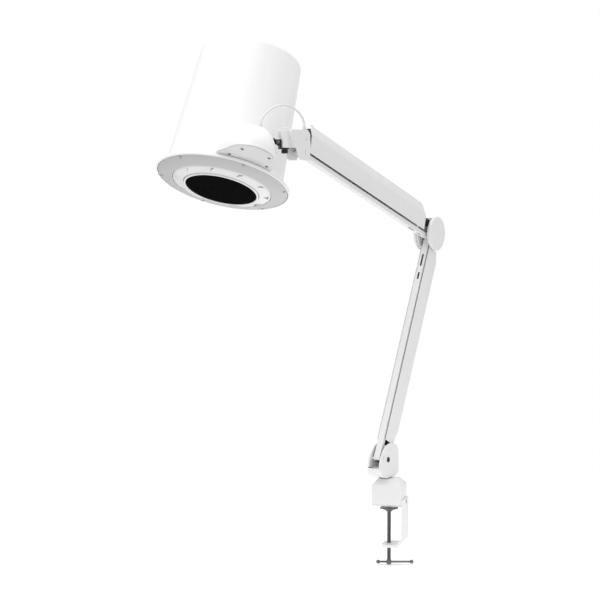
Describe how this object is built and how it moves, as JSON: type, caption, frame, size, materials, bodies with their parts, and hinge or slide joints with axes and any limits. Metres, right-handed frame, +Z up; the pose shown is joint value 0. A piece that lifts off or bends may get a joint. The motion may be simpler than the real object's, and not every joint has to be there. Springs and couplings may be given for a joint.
{
  "type": "clamp-on swing arm lamp",
  "caption": "White clamp-on arm lamp: parallel-link lower and upper arms on a round elbow, and a tall tapered head with a ring light and fan grille.",
  "frame": {"origin": "on the clamp screw's axis, on the underside of the jaw pad, the face that sits on the table top", "axes": "+Z up along the clamp screw, -Y out of the clamp's mouth toward the table, +X to the right seen from the table's edge with -Y away"},
  "size_m": [0.6026, 0.3932, 0.9079],
  "materials": {
    "white_paint": "satin white powder coat",
    "white_plastic": "satin",
    "grey_plastic": "satin",
    "steel": "zinc plated",
    "alloy": "dark anodised",
    "black_steel": "blackened",
    "black_plastic": "matte",
    "jaw_rubber": "matte",
    "bush_plastic": "matte",
    "cable_jacket": "satin white vinyl",
    "light_plastic": "milky, translucent",
    "circuit_board": "solder mask",
    "filter_paper": "pleated filter paper"
  },
  "bodies": {
    "clamp": {"clamp_block": "white_paint", "jaw_pad": "jaw_rubber", "clamp_strap": "white_paint", "strap_screw": "steel", "swivel_bush": "bush_plastic"},
    "pad": {"pressure_pad": "steel"},
    "spindle": {"clamp_spindle": "steel"},
    "tommy": {"tommy_bar": "steel"},
    "base": {"base_bracket": "white_paint", "swivel_pin": "steel", "base_beam_pin": "black_steel", "base_bar_pin": "white_paint"},
    "lower_arm": {"lower_cover": "white_paint", "lower_beam": "alloy", "lower_spring": "steel"},
    "lower_link": {"lower_bar": "white_paint"},
    "elbow": {"elbow_bracket": "white_paint", "elbow_cap_near": "white_paint", "elbow_cap_far": "white_paint", "elbow_lower_beam_pin": "steel", "elbow_lower_bar_pin": "steel", "elbow_upper_beam_pin": "steel", "elbow_upper_bar_pin": "steel"},
    "upper_arm": {"upper_cover": "white_paint", "cover_screw": "steel", "upper_beam": "alloy", "upper_spring": "steel"},
    "upper_link": {"upper_bar": "white_paint"},
    "tip": {"tip_bracket": "white_paint", "tip_beam_pin": "white_paint", "tip_bar_pin": "white_paint", "head_swivel_pin": "white_paint", "head_swivel_nut": "black_steel", "tip_gland": "cable_jacket", "cable": "cable_jacket"},
    "yoke": {"yoke": "black_steel", "tilt_bolt": "steel"},
    "tongue": {"tilt_tongue": "black_steel"},
    "head": {"head_shell": "white_plastic", "joint_housing": "white_plastic", "joint_cover": "grey_plastic", "cover_screw_1": "steel", "cover_screw_2": "steel", "cover_screw_3": "steel", "cover_screw_4": "steel", "bottom_ring": "grey_plastic", "ring_screw_1": "steel", "ring_screw_2": "steel", "ring_screw_3": "steel", "ring_screw_4": "steel", "ring_screw_5": "steel", "ring_screw_6": "steel", "light_cover": "light_plastic", "light_board": "circuit_board", "grille": "black_plastic", "grille_lip": "light_plastic", "fan_frame": "black_plastic", "filter": "filter_paper", "head_gland": "cable_jacket"},
    "fan": {"fan_rotor": "black_plastic"}
  },
  "joints": [
    {"name": "clamp_travel", "type": "slide", "parent": "clamp", "child": "pad", "axis": [0, 0, 1], "range_m": [-0.05, 0.005]},
    {"name": "spindle_turn", "type": "hinge", "parent": "pad", "child": "spindle", "pos_m": [0, 0, -0.06], "axis": [0, 0, 1], "continuous": true},
    {"name": "tommy_slide", "type": "slide", "parent": "spindle", "child": "tommy", "axis": [-0.2504, 0.9681, 0], "range_m": [-0.032, 0.011]},
    {"name": "base_swivel", "type": "hinge", "parent": "clamp", "child": "base", "pos_m": [0, -0.008, 0.05], "axis": [0, 0, 1], "range_deg": [-170, 170]},
    {"name": "lower_tilt", "type": "hinge", "parent": "base", "child": "lower_arm", "pos_m": [0.01057, -0.01103, 0.081], "axis": [0.2756, 0.9613, 0], "range_deg": [-13, 37]},
    {"name": "lower_link_pivot", "type": "hinge", "parent": "base", "child": "lower_link", "pos_m": [0.02624, -0.01553, 0.0849], "axis": [0.2756, 0.9613, 0], "range_deg": [-13, 37]},
    {"name": "elbow_level", "type": "hinge", "parent": "lower_arm", "child": "elbow", "pos_m": [-0.17708, 0.04278, 0.46413], "axis": [0.2756, 0.9613, 0], "range_deg": [-37, 13]},
    {"name": "upper_tilt", "type": "hinge", "parent": "elbow", "child": "upper_arm", "pos_m": [-0.1519, 0.03556, 0.48733], "axis": [0.2756, 0.9613, 0], "range_deg": [-42, 42]},
    {"name": "upper_link_pivot", "type": "hinge", "parent": "elbow", "child": "upper_link", "pos_m": [-0.14824, 0.03451, 0.46563], "axis": [0.2756, 0.9613, 0], "range_deg": [-42, 42]},
    {"name": "tip_level", "type": "hinge", "parent": "upper_arm", "child": "tip", "pos_m": [0.27961, -0.08818, 0.63319], "axis": [0.2756, 0.9613, 0], "range_deg": [-42, 42]},
    {"name": "head_swivel", "type": "hinge", "parent": "tip", "child": "yoke", "pos_m": [0.32662, -0.10166, 0.63319], "axis": [0, 0, 1], "range_deg": [-5, 100], "deforming": ["cable"]},
    {"name": "head_tilt", "type": "hinge", "parent": "yoke", "child": "tongue", "pos_m": [0.33316, -0.11254, 0.62719], "axis": [0.8572, 0.515, 0], "range_deg": [-7, 25], "deforming": ["cable"]},
    {"name": "head_turn", "type": "hinge", "parent": "tongue", "child": "head", "pos_m": [0.35153, -0.14311, 0.63878], "axis": [0.4898, -0.8152, 0.309], "range_deg": [-45, 60], "deforming": ["cable"]},
    {"name": "fan_spin", "type": "hinge", "parent": "head", "child": "fan", "pos_m": [0.26835, -0.2201, 0.56753], "axis": [-0.4028, 0.1027, 0.9095], "continuous": true}
  ],
  "couplings": [
    {"joint": "lower_link_pivot", "follows": "lower_tilt", "ratio": 1},
    {"joint": "elbow_level", "follows": "lower_tilt", "ratio": -1},
    {"joint": "upper_link_pivot", "follows": "upper_tilt", "ratio": 1},
    {"joint": "tip_level", "follows": "upper_tilt", "ratio": -1}
  ]
}
